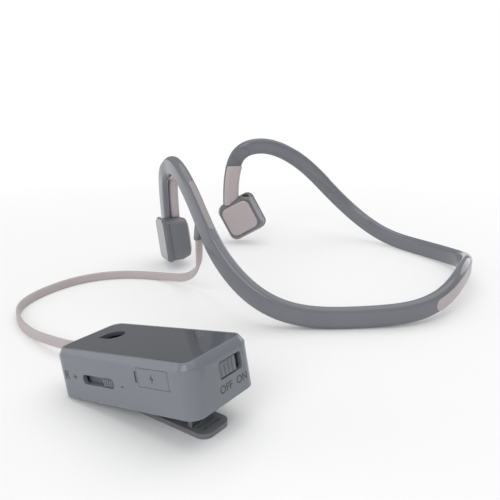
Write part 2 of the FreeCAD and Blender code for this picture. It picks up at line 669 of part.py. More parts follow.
def charge_socket():
    length, depth, height = SOCKET_SIZE
    low = V(FLAP_AT[0] - length / 2, FLAP_THICK + FLAP_PLUG[2] + 0.2, FLAP_AT[1] - height / 2)
    shell = Part.makeBox(length, depth, height, low)
    mouth = Part.makeBox(length - 2 * SOCKET_WALL, depth - SOCKET_WALL, height - 2 * SOCKET_WALL,
                         low + V(SOCKET_WALL, 0, SOCKET_WALL))
    tongue = Part.makeBox(SOCKET_TONGUE[0], SOCKET_TONGUE[1], SOCKET_TONGUE[2],
                          V(FLAP_AT[0] - SOCKET_TONGUE[0] / 2, low.y + depth - SOCKET_WALL - SOCKET_TONGUE[1],
                            FLAP_AT[1] - SOCKET_TONGUE[2] / 2))
    return shell.cut(mouth).fuse(tongue)


def box_cover():
    cut = COVER_CUT + COVER_GAP
    plate = stack([
        (COVER_AT + SKIN_GAP, BOX_LENGTH, BOX_WIDTH, cut),
        (BOX_HEIGHT - COVER_EDGE, BOX_LENGTH, BOX_WIDTH, cut),
        (BOX_HEIGHT, BOX_LENGTH, BOX_WIDTH, cut + COVER_EDGE),
    ], BOX_CORNER)
    skirt_cut = BOX_WALL + BOX_SHOULDER_INSET + COVER_GAP
    skirt = stack([
        (COVER_AT - COVER_SKIRT, BOX_LENGTH, BOX_WIDTH, skirt_cut),
        (COVER_AT + SKIN_GAP, BOX_LENGTH, BOX_WIDTH, skirt_cut),
    ], BOX_CORNER)
    core = stack([
        (COVER_AT - COVER_SKIRT - 1, BOX_LENGTH, BOX_WIDTH, skirt_cut + SKIRT_WALL),
        (COVER_AT + SKIN_GAP, BOX_LENGTH, BOX_WIDTH, skirt_cut + SKIRT_WALL),
    ], BOX_CORNER)
    cover = plate.fuse(skirt.cut(core))
    return cover.cut(mic_hole())


def mic_hole():
    """Round hole that runs out to a point on one side."""
    centre = V(MIC_AT[0], MIC_AT[1], COVER_AT - 1)
    depth = COVER_THICK + 2
    reach = math.radians(MIC_TIP_ANGLE)
    spread = math.acos(MIC_HOLE_RADIUS / MIC_TIP_REACH)
    corners = [centre + V(math.cos(reach), math.sin(reach), 0) * MIC_TIP_REACH]
    for turn in (-spread, spread):
        corners.append(centre + V(math.cos(reach + turn), math.sin(reach + turn), 0) * MIC_HOLE_RADIUS)
    tip = Part.Face(Part.makePolygon([corners[0], corners[1], centre, corners[2], corners[0]]))
    return rod(MIC_HOLE_RADIUS, depth, centre, UP).fuse(tip.extrude(V(0, 0, depth)))


def volume_slider():
    """Right volume slider at its quiet end: ridged knob in the slot and a plate behind the wall."""
    knob_x = VOLUME_SLOT_AT[0] + VOLUME_SLOT[0] / 2 - SLIDER_CLEARANCE - VOLUME_KNOB[0] / 2
    return slider(VOLUME_KNOB, VOLUME_RIDGES, SLIDER_PLATE_LENGTH, VOLUME_SLOT[1] + 2 * SLIDER_PLATE_LAP,
                  V(knob_x, 0, VOLUME_SLOT_AT[1]))


def slider(knob_size, ridges, plate_length, plate_height, at):
    """Slider for a wall whose outer face is y = 0: ridged knob, and plate behind the wall."""
    knob = rounded_slot(knob_size[0], knob_size[1], BOX_WALL - KNOB_SUNK + SLIDER_CLEARANCE, KNOB_CORNER)
    knob.translate(V(0, KNOB_SUNK, 0))
    plate = Part.makeBox(plate_length, SLIDER_PLATE_THICK, plate_height,
                         V(-plate_length / 2, BOX_WALL + SLIDER_CLEARANCE, -plate_height / 2))
    whole = knob.fuse(plate)
    pitch = knob_size[0] / (ridges + 0.5)
    for number in range(ridges):
        middle = (number - (ridges - 1) / 2) * pitch
        length = knob_size[1] * RIDGE_SHARE
        ridge = Part.makeBox(pitch / 2, RIDGE_HEIGHT + SKIN_GAP, length,
                             V(middle - pitch / 4, KNOB_SUNK - RIDGE_HEIGHT, -length / 2))
        whole = whole.fuse(ridge)
    whole = whole.removeSplitter()
    whole.translate(at)
    return whole


def power_slider():
    """Power slider at OFF, drawn for the long wall and turned onto the end wall."""
    knob_y = POWER_SLOT_AT[0] - POWER_SLOT[0] / 2 + SLIDER_CLEARANCE + POWER_KNOB[0] / 2
    solid = slider(POWER_KNOB, POWER_RIDGES, POWER_PLATE[0], POWER_PLATE[1], V(0, 0, 0))
    solid.rotate(V(0, 0, 0), UP, 90)
    solid.translate(V(BOX_LENGTH, knob_y, POWER_SLOT_AT[1]))
    return solid


def power_switch():
    plate_back = BOX_LENGTH - BOX_WALL - 2 * SLIDER_CLEARANCE - SLIDER_PLATE_THICK
    return slab(SWITCH_BODY, (plate_back - SWITCH_BODY[0], POWER_SLOT_AT[0] - SWITCH_BODY[1] / 2,
                              BOARD_AT[2] + BOARD_SIZE[2] + SKIN_GAP))


def volume_pot():
    front = BOX_WALL + 2 * SLIDER_CLEARANCE + SLIDER_PLATE_THICK
    return slab(POT_SIZE, (VOLUME_SLOT_AT[0] - POT_SIZE[0] / 2, front, VOLUME_SLOT_AT[1] - POT_SIZE[2] / 2))


def across_box(shape):
    """The same piece on the box's other long wall."""
    return shape.mirror(V(0, BOX_WIDTH / 2, 0), V(0, 1, 0))


def strain_relief():
    def outline(x, size):
        return rounded_outline(V(x, RELIEF_AT[0], RELIEF_AT[1]), V(0, 1, 0), V(0, 0, 1), size[0], size[1],
                               RELIEF_CORNER)

    sleeve = Part.makeLoft([outline(-RELIEF_LENGTH, RELIEF_TIP), outline(-0.1, RELIEF_BASE)], True, True)
    neck = Part.Face(outline(-0.1, (RELIEF_BASE[0] - 2 * SKIN_GAP, RELIEF_BASE[1] - 2 * SKIN_GAP)))
    neck = neck.extrude(V(BOX_WALL + 0.1 + SKIN_GAP, 0, 0))
    flange_size = (RELIEF_BASE[0] + 2 * RELIEF_LAPS[0], RELIEF_BASE[1] + 2 * RELIEF_LAPS[0])
    flange = Part.Face(outline(BOX_WALL + SKIN_GAP, flange_size)).extrude(V(RELIEF_FLANGE, 0, 0))
    collar_size = (RELIEF_BASE[0] + 2 * RELIEF_LAPS[1], RELIEF_BASE[1] + 2 * RELIEF_LAPS[1])
    collar = Part.Face(outline(-RELIEF_COLLAR - SKIN_GAP, collar_size)).extrude(V(RELIEF_COLLAR, 0, 0))
    return sleeve.fuse(neck).fuse(flange).fuse(collar).removeSplitter()


def box_parts():
    mesh_at = V(MIC_AT[0], MIC_AT[1], COVER_AT - SKIN_GAP - MESH_THICK)
    microphone_foot = BOARD_AT[2] + BOARD_SIZE[2] + SKIN_GAP
    return {
        "box_case": box_case(),
        "box_cover": box_cover(),
        "microphone_mesh": rod(MESH_RADIUS, MESH_THICK, mesh_at, UP),
        "microphone": rod(MIC_RADIUS, MIC_HEIGHT, V(MIC_AT[0], MIC_AT[1], microphone_foot), UP),
        "circuit_board": slab(BOARD_SIZE, BOARD_AT),
        "battery": slab(BATTERY_SIZE, BATTERY_AT, BATTERY_CORNER),
        "power_slider": power_slider(),
        "power_switch": power_switch(),
        "right_volume_slider": volume_slider(),
        "left_volume_slider": across_box(volume_slider()),
        "right_volume_pot": volume_pot(),
        "left_volume_pot": across_box(volume_pot()),
        "charge_socket": charge_socket(),
        "charge_flap": charge_flap(),
        "box_strain_relief": strain_relief(),
        "clip_bracket": clip_bracket(),
        "clip_pin": rod(PIN_RADIUS, PIN_LENGTH, V(CLIP_AT, (BOX_WIDTH - PIN_LENGTH) / 2, -PIN_DROP), V(0, 1, 0)),
        "clip_screws": clip_screws(),
    }


# ---------------------------------------------------------------- belt clip
def clip_bracket():
    """Plate under the box with two ears for the hinge pin."""
    length, width, thick = BRACKET_SIZE
    bracket = slab(BRACKET_SIZE, (CLIP_AT - length / 2, (BOX_WIDTH - width) / 2, -thick), BRACKET_CORNER)
    for side in (-1, 1):
        low_y = BOX_WIDTH / 2 + side * EAR_SPACING / 2 - EAR_THICK / 2
        ear = rod(EAR_RADIUS, EAR_THICK, V(CLIP_AT, low_y, -PIN_DROP), V(0, 1, 0))
        web = Part.makeBox(2 * EAR_RADIUS, EAR_THICK, PIN_DROP - thick / 2,
                           V(CLIP_AT - EAR_RADIUS, low_y, -PIN_DROP))
        bracket = bracket.fuse(ear).fuse(web)
    bracket = bracket.cut(rod(PIN_RADIUS, BOX_WIDTH, V(CLIP_AT, 0, -PIN_DROP), V(0, 1, 0)))
    for x in (CLIP_AT - SCREW_SPACING / 2, CLIP_AT + SCREW_SPACING / 2):
        bracket = bracket.cut(rod(SCREW_RADIUS, 3, V(x, BOX_WIDTH / 2, -2), UP))
        bracket = bracket.cut(rod(SCREW_HEAD_RADIUS, SCREW_HEAD_HEIGHT + 1, V(x, BOX_WIDTH / 2, -thick - 1), UP))
    return bracket


def clip_screws():
    thick = BRACKET_SIZE[2]
    screws = []
    for x in (CLIP_AT - SCREW_SPACING / 2, CLIP_AT + SCREW_SPACING / 2):
        head = rod(SCREW_HEAD_RADIUS, SCREW_HEAD_HEIGHT, V(x, BOX_WIDTH / 2, -thick), UP)
        shank = rod(SCREW_RADIUS, thick + BOX_WALL, V(x, BOX_WIDTH / 2, -thick), UP)
        drive = Part.makeBox(*SCREW_SLOT, V(x - SCREW_SLOT[0] / 2, (BOX_WIDTH - SCREW_SLOT[1]) / 2, -thick))
        screws.append(head.fuse(shank).cut(drive))
    return Part.makeCompound(screws)


def hinge_point():
    """Hinge axis of the clip in the lever's own frame."""
    to_lever = clip_placement().inverse().multiply(box_placement())
    return to_lever.multVec(V(CLIP_AT, BOX_WIDTH / 2, -PIN_DROP))


def underside_at(x):
    """Height of the box's underside above the lever's foot, at a distance along the lever."""
    to_lever = clip_placement().inverse().multiply(box_placement())
    near = to_lever.multVec(V(0, 0, 0))
    far = to_lever.multVec(V(BOX_LENGTH, 0, 0))
    return near.z + (far.z - near.z) * (x - near.x) / (far.x - near.x)


def clip_lever():
    hinge = hinge_point()
    low_y = (BOX_WIDTH - LEVER_WIDTH) / 2
    plate = Part.makeBox(LEVER_TIP - LEVER_TAIL, LEVER_WIDTH, LEVER_THICK, V(LEVER_TAIL, low_y, 0))
    tip_edges = [e for e in plate.Edges if e.BoundBox.ZLength > 1 and e.BoundBox.XMin > LEVER_TIP - 1]
    plate = plate.makeFillet(LEVER_TIP_CORNER, tip_edges)
    tail_edges = [e for e in plate.Edges if e.BoundBox.ZLength > 1 and e.BoundBox.XMax < LEVER_TAIL + 1]
    plate = plate.makeFillet(LEVER_TAIL_CORNER, tail_edges)

    lever = plate
    for side in (-1, 1):
        lug_y = BOX_WIDTH / 2 + side * LUG_SPACING / 2 - LUG_THICK / 2
        lug = rod(EAR_RADIUS, LUG_THICK, V(hinge.x, lug_y, hinge.z), V(0, 1, 0))
        web = Part.makeBox(2 * EAR_RADIUS, LUG_THICK, hinge.z - LEVER_THICK / 2,
                           V(hinge.x - EAR_RADIUS, lug_y, LEVER_THICK / 2))
        lever = lever.fuse(lug).fuse(web)
    rib_top = underside_at(RIB_AT - RIB_THICK) - RIB_CLEARANCE
    rib_ends = [V(RIB_AT, BOX_WIDTH / 2 + side * RIB_WIDTH / 2, LEVER_THICK / 2) for side in (-1, 1)]
    bowed = Part.Arc(rib_ends[0], V(RIB_AT - RIB_BOW, BOX_WIDTH / 2, LEVER_THICK / 2), rib_ends[1]).toShape()
    rib = bowed.extrude(V(RIB_THICK, 0, 0)).extrude(V(0, 0, rib_top - LEVER_THICK / 2))
    lever = lever.fuse(rib)
    lever = lever.cut(rod(PIN_RADIUS + PIN_CLEARANCE, BOX_WIDTH, V(hinge.x, 0, hinge.z), V(0, 1, 0)))
    for number in range(GROOVES):
        groove_x = LEVER_TIP - GROOVE_INSET - number * GROOVE_PITCH - GROOVE_SIZE[0]
        lever = lever.cut(Part.makeBox(GROOVE_SIZE[0], LEVER_WIDTH - 2 * GROOVE_INSET, GROOVE_SIZE[1],
                                       V(groove_x, low_y + GROOVE_INSET, LEVER_THICK - GROOVE_SIZE[1])))
    return lever.removeSplitter()


def clip_spring():
    """Torsion spring round the pin: one leg lies under the bracket's plate, the other on the lever's tail."""
    hinge = hinge_point()
    radius = PIN_RADIUS + SPRING_CLEARANCE + SPRING_WIRE
    turns = SPRING_TURNS + 0.5 + BOX_PITCH / 360
    height = turns * SPRING_PITCH
    helix = Part.makeHelix(SPRING_PITCH, height, radius)
    helix.rotate(V(0, 0, 0), UP, -BOX_PITCH)

    lean = math.radians(BOX_PITCH)
    outward = V(math.cos(lean), -math.sin(lean), 0)
    upper_leg = V(math.sin(lean), math.cos(lean), 0)
    upper_end = outward * radius - upper_leg * SPRING_LEG
    lower_end = V(-radius, -SPRING_LEG, height)
    edges = [Part.LineSegment(upper_end, outward * radius).toShape()]
    edges += helix.Edges
    edges.append(Part.LineSegment(V(-radius, 0, height), lower_end).toShape())

    corners = []
    for number in range(SPRING_SIDES + 1):
        turn = 2 * math.pi * number / SPRING_SIDES
        corners.append(upper_end + outward * (SPRING_WIRE * math.cos(turn)) + UP * (SPRING_WIRE * math.sin(turn)))
    spring = Part.Wire(edges).makePipeShell([Part.makePolygon(corners)], True, False)
    spring.rotate(V(0, 0, 0), V(1, 0, 0), -90)
    spring.rotate(V(0, 0, 0), V(0, 1, 0), -90)
    spring.translate(V(hinge.x, BOX_WIDTH / 2 - height / 2, hinge.z))
    return spring


# ---------------------------------------------------------------- cord
def cord_points():
    gland_end = V(*GLAND_EXIT)
    leave = cord_exit_direction()
    to_box = box_placement()
    relief_end = to_box.multVec(V(-RELIEF_LENGTH, RELIEF_AT[0], RELIEF_AT[1]))
    beyond = to_box.multVec(V(-RELIEF_LENGTH - CORD_LAST_RUN, RELIEF_AT[0], RELIEF_AT[1]))
    return [gland_end, gland_end + leave * CORD_FIRST_RUN] + [V(*p) for p in CORD_ROUTE] + [beyond, relief_end]


def cord_exit_direction():
    direction = V(-0.36, -0.22, -0.906)
    direction.normalize()
    return direction


def cord_tube():
    """Tube along straight runs joined by tangent arcs."""
    points = cord_points()
    runs = [points[n + 1] - points[n] for n in range(len(points) - 1)]
    edges = []
    start = points[0]
    length = 0.0
    for number in range(1, len(points) - 1):
        before = runs[number - 1]
        after = runs[number]
        setback = CORD_RUN_SHARE * min(before.Length, after.Length)
        turn = before.getAngle(after)
        radius = setback / math.tan(turn / 2)
        corner = points[number]
        bend_in = corner - V(before).normalize() * setback
        bend_out = corner + V(after).normalize() * setback
        inward = (bend_in + bend_out) * 0.5 - corner
        to_centre = radius / math.cos(turn / 2)
        middle = corner + inward.normalize() * (to_centre - radius)
        edges.append(Part.LineSegment(start, bend_in).toShape())
        edges.append(Part.Arc(bend_in, middle, bend_out).toShape())
        length += (bend_in - start).Length + radius * turn
        print("cord turn %d: %.0f degrees, radius %.1f mm, run %.1f mm"
              % (number, math.degrees(turn), radius, after.Length))
        start = bend_out
    edges.append(Part.LineSegment(start, points[-1]).toShape())
    length += (points[-1] - start).Length
    path = Part.Wire(edges)
    first = runs[0]
    section = Part.Wire(Part.Circle(points[0], first, CORD_RADIUS).toShape())
    tube = path.makePipeShell([section], True, True)
    print("cord length %.1f mm, volume %.1f, section x length %.1f"
          % (length, tube.Volume, math.pi * CORD_RADIUS ** 2 * length))
    return tube


def cord_gland(hook):
    """Tapered outlet that grows out of the lower edge of the left hook and holds the cord."""
    point, along, outward, upward = strap_frame(GLAND_AT)
    leave = cord_exit_direction()
    wide = outward - leave * outward.dot(leave)
    wide.normalize()
    thin = leave.cross(wide)
    exit_wire = rounded_outline(V(*GLAND_EXIT), wide, thin, GLAND_EXIT_SIZE[0], GLAND_EXIT_SIZE[1], GLAND_CORNER)
    root_wire = rounded_outline(point - upward * GLAND_ROOT_DROP, wide, thin, GLAND_ROOT_SIZE[0],
                                GLAND_ROOT_SIZE[1], GLAND_CORNER)
    return biggest(Part.makeLoft([root_wire, exit_wire], True, True).cut(hook))


# ---------------------------------------------------------------- assembly
def build():
    nodes = {}
    band, core, strip = rear_band_parts()
    nodes["rear_band"] = band
    nodes["band_core_wire"] = core
    nodes["rear_band_inlay"] = strip

    pod, pod_outer, pod_cover_shape = pod_parts()
    for side, hand in SIDES.items():
        to_pod = pod_placement(side)
        keep_out = moved(pod_outer.fuse(pod_cover_shape), to_pod)
        strip = inlay(HOOK_INLAY_FROM, HOOK_INLAY_TO, HOOK_INLAY_WIDTH, hook_inlay_section, hand)
        pad = moved(pod["contact_pad"], to_pod)
        nodes[side + "_hook_shell"] = biggest(hook_shell(side).cut(strip).cut(keep_out).cut(pad))
        nodes[side + "_hook_liner"] = biggest(hook_liner(side).cut(keep_out).cut(pad))
        nodes[side + "_hook_inlay"] = strip
        for name, shape in pod.items():
            nodes[side + "_" + name] = moved(shape, to_pod)

    nodes["cord_gland"] = cord_gland(nodes["left_hook_shell"])
    nodes["flat_cord"] = cord_tube()

    to_box = box_placement()
    for name, shape in box_parts().items():
        nodes[name] = moved(shape, to_box)
    to_clip = clip_placement()
    nodes["clip_lever"] = moved(clip_lever(), to_clip)
    nodes["clip_spring"] = moved(clip_spring(), to_clip)
    return nodes


def origin_shift(nodes):
    """Move that puts the origin in the middle of the underside, the cord left out."""
    whole = FreeCAD.BoundBox()
    for name, shape in nodes.items():
        if name != "flat_cord":
            whole.add(shape.BoundBox)
    return V(-(whole.XMin + whole.XMax) / 2, -(whole.YMin + whole.YMax) / 2, -whole.ZMin)


NODES = build()
SHIFT = origin_shift(NODES)
for node_name, node_shape in NODES.items():
    node_shape.translate(SHIFT)
    node_shape.exportStep("parts/%s.step" % node_name)

BOX_FRAME = box_placement()


def in_row_frame(point):
    return BOX_FRAME.multVec(point) + SHIFT


BOX_AXES = [BOX_FRAME.Rotation.multVec(axis) for axis in (V(1, 0, 0), V(0, 1, 0), UP)]
print("shift", SHIFT)
print("box axes", BOX_AXES)
print("flap axis point", in_row_frame(flap_axis()))
print("clip hinge point", in_row_frame(V(CLIP_AT, BOX_WIDTH / 2, -PIN_DROP)))
print("cord points", [tuple(round(c, 2) for c in point + SHIFT) for point in cord_points()])
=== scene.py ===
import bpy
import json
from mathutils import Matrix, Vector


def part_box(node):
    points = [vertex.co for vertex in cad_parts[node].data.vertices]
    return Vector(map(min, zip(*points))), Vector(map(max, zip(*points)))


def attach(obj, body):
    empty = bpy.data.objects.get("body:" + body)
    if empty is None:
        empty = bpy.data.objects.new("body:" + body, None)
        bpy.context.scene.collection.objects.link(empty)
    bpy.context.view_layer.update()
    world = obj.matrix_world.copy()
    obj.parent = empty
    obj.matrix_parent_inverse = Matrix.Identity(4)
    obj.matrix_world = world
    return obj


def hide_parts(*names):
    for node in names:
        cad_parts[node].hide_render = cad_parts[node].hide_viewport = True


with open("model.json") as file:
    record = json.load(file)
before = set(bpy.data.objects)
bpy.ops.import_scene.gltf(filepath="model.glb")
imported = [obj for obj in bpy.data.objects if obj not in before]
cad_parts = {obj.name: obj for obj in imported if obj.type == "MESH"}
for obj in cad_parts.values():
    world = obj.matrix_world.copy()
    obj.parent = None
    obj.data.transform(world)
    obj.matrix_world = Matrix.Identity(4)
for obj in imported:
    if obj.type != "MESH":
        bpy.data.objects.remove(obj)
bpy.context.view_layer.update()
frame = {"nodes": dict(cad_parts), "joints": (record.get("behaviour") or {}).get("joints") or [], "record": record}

import json
import math

import bmesh
import bpy
from bpy.props import FloatProperty, FloatVectorProperty, PointerProperty
from mathutils import Matrix, Vector

# Looks of a bone conduction headset: a moulded neckband with silicone inlays, ear hooks with soft liners,
# two pods with silicone pads, and a flat cord to a control box that stands on its belt clip.
# Metres, in the model's own frame.

bl_info = {
    "name": "Bone Conduction Headset Looks",
    "version": (1, 0, 0),
    "blender": (4, 5, 0),
    "location": "View3D > Sidebar > Headset",
    "description": "Finishes, soft parts, cord, lettering and stage for a bone conduction headset",
    "category": "Object",
}

NODES = frame["nodes"]
JOINTS = {joint["name"]: joint for joint in frame["joints"]}
MOUNTS = {mount["name"]: mount for mount in frame["record"]["mounts"]}
HEADSET = "headset"                       # body that most of the pieces ride on
SIDES = ("left", "right")
MM = 0.001
MICRON = 0.000001

# ---------------------------------------------------------------- places and sizes
BAND_BACK = 0.07494                       # from the wearer's ears line back to the band's rearmost face
BOX_LENGTH = 57.0 * MM
BOX_WIDTH = 26.8 * MM

# In the control box's own frame: the flap's hinge, and the ways along, across and up. The box leans, and in
# the model's frame UP is up from the floor.
FLAP_HINGE = (48.7 * MM, 0.6 * MM, 10.7 * MM)
ALONG = Vector((1, 0, 0))
ACROSS = Vector((0, 1, 0))
UP = Vector((0, 0, 1))


def headset_origin():
    """Point on the floor in the headset's plane of symmetry, on the line between the wearer's ears."""
    low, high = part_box("rear_band")
    return Vector(((low.x + high.x) / 2, high.y - BAND_BACK, low.z))


def box_matrix():
    """Control box's own frame: x along it from the cord end, y across from the near wall, z up."""
    hinge = JOINTS["charge_flap_hinge"]
    axes = (-Vector(JOINTS["right_volume_slide"]["axis"]), Vector(JOINTS["power_slide"]["axis"]),
            Vector(hinge["axis"]))
    origin = Vector(hinge["pos_m"])
    for axis, distance in zip(axes, FLAP_HINGE):
        origin -= axis * distance
    matrix = Matrix(axes).transposed().to_4x4()
    matrix.translation = origin
    return matrix


def pad_face(side):
    """Middle of a pad's face, and the direction it faces."""
    mount = MOUNTS[side + "_pad_face"]
    return Vector(mount["pos_m"]), Vector(mount["axis"])


ORIGIN = headset_origin()
BOX = box_matrix()


# ---------------------------------------------------------------- properties
def colour(name, description, default):
    return FloatVectorProperty(name=name, description=description, default=default, size=3,
                               min=0.0, max=1.0, subtype="COLOR")


def length(name, description, default):
    return FloatProperty(name=name, description=description, default=default, unit="LENGTH")


def power(name, description, default):
    return FloatProperty(name=name, description=description, default=default, unit="POWER")


class HeadsetFinishes(bpy.types.PropertyGroup):
    """Colours of the finishes, linear."""
    band: colour("Band", "Smooth plastic of the neckband and ear hooks", (0.168, 0.175, 0.196))
    pod_cover: colour("Pod cover", "Polished outer cover of a pod", (0.150, 0.157, 0.175))
    pod_housing: colour("Pod housing", "Satin housing of a pod", (0.165, 0.171, 0.187))
    silicone: colour("Silicone", "Pads, hook liners and the neckband's inlay", (0.465, 0.410, 0.416))
    inlay: colour("Hook inlay", "Strips let into the ear hooks", (0.300, 0.276, 0.282))
    cord: colour("Cord", "Flat cord and its strain relief", (0.450, 0.398, 0.405))
    case: colour("Case", "Smooth case and flap of the control box", (0.175, 0.190, 0.213))
    cover: colour("Cover", "Polished cover of the control box", (0.080, 0.086, 0.098))
    knob: colour("Knobs", "Ridged slider knobs", (0.165, 0.172, 0.190))
    clip: colour("Clip", "Belt clip lever and bracket", (0.165, 0.172, 0.190))
    dark: colour("Dark parts", "Microphone, port screen and battery", (0.006, 0.006, 0.008))
    track: colour("Slider track", "Parts seen through the slots", (0.230, 0.240, 0.265))
    ink: colour("Ink", "Printed signs", (0.050, 0.052, 0.058))
    steel: colour("Steel", "Pin, screws, spring and other metal parts", (0.560, 0.560, 0.580))
    copper: colour("Copper", "Coil wire", (0.750, 0.330, 0.180))
    board: colour("Board", "Circuit board", (0.020, 0.110, 0.050))


class HeadsetSizes(bpy.types.PropertyGroup):
    """Sizes of the added pieces."""
    cord_width: length("Cord width", "Width of the flat cord", 4.0 * MM)
    cord_thickness: length("Cord thickness", "Thickness of the flat cord", 1.5 * MM)
    edge_radius: length("Edge radius", "Rounding of the moulded edges", 0.18 * MM)
    pad_crown: length("Pad crown", "Rise of a pad's middle over its rim", 0.35 * MM)
    liner_extra: length("Liner extra", "Added length of the left liner's upper end", 3.0 * MM)
    ink_depth: length("Ink depth", "How far the printed signs stand out from the wall", 0.02 * MM)
    sign_height: length("Sign height", "Height of the volume signs on the control box", 2.7 * MM)
    mesh_pitch: length("Mesh pitch", "Spacing of the wires in the microphone's mesh", 0.6 * MM)


class HeadsetStage(bpy.types.PropertyGroup):
    """Floor, lamps and camera."""
    floor: colour("Floor", "Colour of the floor", (0.88, 0.88, 0.88))
    world_level: FloatProperty(name="World level", description="Strength of the even light", default=0.48)
    reflected_level: FloatProperty(name="Reflected level", description="World's strength in reflections",
                                   default=0.30)
    key_power: power("Key power", "Power of the key lamp", 5.3)
    fill_power: power("Fill power", "Power of the fill lamp", 2.4)
    rim_power: power("Rim power", "Power of the lamp behind", 1.5)
    side_power: power("Side power", "Power of the low lamp at the side", 1.0)
    lens: FloatProperty(name="Lens", description="Focal length of the camera, in millimetres", default=43.2,
                        unit="CAMERA")


# ---------------------------------------------------------------- shader tools
class Value:
    """Number from a shader socket, with Python's operators."""

    def __init__(self, shader, socket):
        self.shader = shader
        self.socket = socket

    def _math(self, operation, *values):
        return self.shader.node("ShaderNodeMath", {"operation": operation}, dict(enumerate(values)))

    def __add__(self, other):
        return self._math("ADD", self, other)

    __radd__ = __add__

    def __sub__(self, other):
        return self._math("SUBTRACT", self, other)

    def __rsub__(self, other):
        return self._math("SUBTRACT", other, self)

    def __mul__(self, other):
        return self._math("MULTIPLY", self, other)

    __rmul__ = __mul__

    def __truediv__(self, other):
        return self._math("DIVIDE", self, other)

    def __rtruediv__(self, other):
        return self._math("DIVIDE", other, self)

    def swing(self, width):
        """Number that goes up and down about 0, from one that does so about 0.5."""
        return (self - 0.5) * width

    def clamped(self):
        """Same number, kept between 0 and 1."""
        return self.shader.node("ShaderNodeMath", {"operation": "ADD", "use_clamp": True}, {0: self, 1: 0.0})


class Shader:
    """A node tree that is being written."""

    def __init__(self, tree):
        self.tree = tree
        self.tree.nodes.clear()

    def node(self, kind, settings=None, inputs=None, output=0):
        """New node: its settings first, then its sockets by name or number. Returns one of its outputs."""
        made = self.tree.nodes.new(kind)
        for name, value in (settings or {}).items():
            setattr(made, name, value)
        for name, value in (inputs or {}).items():
            if isinstance(value, Value):
                self.tree.links.new(value.socket, made.inputs[name])
            else:
                made.inputs[name].default_value = value
        return Value(self, made.outputs[output]) if made.outputs else None

    def coordinates(self, squeeze=(1.0, 1.0, 1.0)):
        """Place on the piece, in metres. A factor below 1 draws a pattern out along that axis."""
        place = self.node("ShaderNodeTexCoord", output="Object")
        return self.node("ShaderNodeMapping", None, {"Vector": place, "Scale": squeeze})

    def noise(self, scale, detail=2.0, squeeze=(1.0, 1.0, 1.0)):
        """Noise from 0 to 1 about 0.5; the scale is in cells per metre."""
        return self.node("ShaderNodeTexNoise", None,
                         {"Vector": self.coordinates(squeeze), "Scale": scale, "Detail": detail})

    def mottled(self, factor, base, darkest, lightest):
        """Colour that goes from a darker to a lighter shade of base as the factor goes from 0 to 1.
        A Mix node's colours are its sockets 6 and 7, and the mixed colour is its output 2."""
        return self.node("ShaderNodeMix", {"data_type": "RGBA"},
                         {0: factor, 6: shade(base, darkest), 7: shade(base, lightest)}, output=2)

    def bump(self, height, distance):
        """Normal of a surface that rises by the distance where the height is 1."""
        return self.node("ShaderNodeBump", None, {"Height": height, "Distance": distance})

    def ray(self, kind):
        """1 for a Camera, Glossy or Transmission ray, whichever is named, and 0 for others."""
        return self.node("ShaderNodeLightPath", output="Is " + kind + " Ray")


def shade(base, factor):
    """Colour made lighter or darker, with alpha."""
    return tuple(min(1.0, channel * factor) for channel in base) + (1.0,)


def finish(name, constants, varying):
    """Material with a Principled shader. varying(shader) gives the sockets that change over the surface."""
    material = bpy.data.materials.new(name)
    material.use_nodes = True
    shader = Shader(material.node_tree)
    surface = shader.node("ShaderNodeBsdfPrincipled", None, {**constants, **varying(shader)})
    shader.node("ShaderNodeOutputMaterial", None, {"Surface": surface})
    return material


def moulded(name, base, roughness, grain=12 * MICRON, mottle=0.05, ior=1.46):
    """Injection-moulded plastic: fine spark-eroded grain, slight mottling, faint handling marks."""
    def varying(shader):
        cloud = shader.noise(70.0, detail=3.0)
        smear = shader.noise(160.0, detail=4.0, squeeze=(1.0, 0.35, 1.0))
        fine = shader.noise(5200.0, detail=1.0)
        return {
            "Base Color": shader.mottled(cloud, base, 1 - mottle, 1 + mottle),
            "Roughness": roughness + smear.swing(0.06) + fine.swing(0.04),
            "Normal": shader.bump(fine, grain),
        }
    return finish(name, {"IOR": ior}, varying)


def silicone(name, base, roughness=0.40):
    """Soft matt silicone or rubber with a faint bloom and fine pores."""
    def varying(shader):
        cloud = shader.noise(55.0, detail=3.0)
        pores = shader.noise(3600.0)
        streaks = shader.noise(900.0, squeeze=(1.0, 1.0, 0.05))
        return {
            "Base Color": shader.mottled(cloud * 0.7 + streaks * 0.3, base, 0.93, 1.07),
            "Roughness": roughness + pores.swing(0.14),
            "Normal": shader.bump(pores + streaks * 0.5, 25 * MICRON),
        }
    return finish(name, {"Sheen Weight": 0.12, "Sheen Roughness": 0.4, "IOR": 1.41}, varying)


def metal(name, base, roughness, squeeze):
    """Plated or drawn metal with fine lines."""
    def varying(shader):
        lines = shader.noise(2600.0, squeeze=squeeze)
        cloud = shader.noise(240.0)
        return {
            "Base Color": shader.mottled(cloud, base, 0.90, 1.05),
            "Roughness": roughness + lines.swing(0.20),
            "Normal": shader.bump(lines, 10 * MICRON),
        }
    return finish(name, {"Metallic": 1.0}, varying)


def printed(name, base):
    """Pad-printed ink: slightly uneven cover over the grain."""
    def varying(shader):
        cover = shader.noise(4200.0)
        cloud = shader.noise(300.0)
        return {
            "Base Color": shader.mottled(cover * 0.5 + cloud * 0.5, base, 0.8, 1.35),
            "Roughness": 0.48 + cover.swing(0.2),
            "Normal": shader.bump(cover, 6 * MICRON),
        }
    return finish(name, {"IOR": 1.46}, varying)


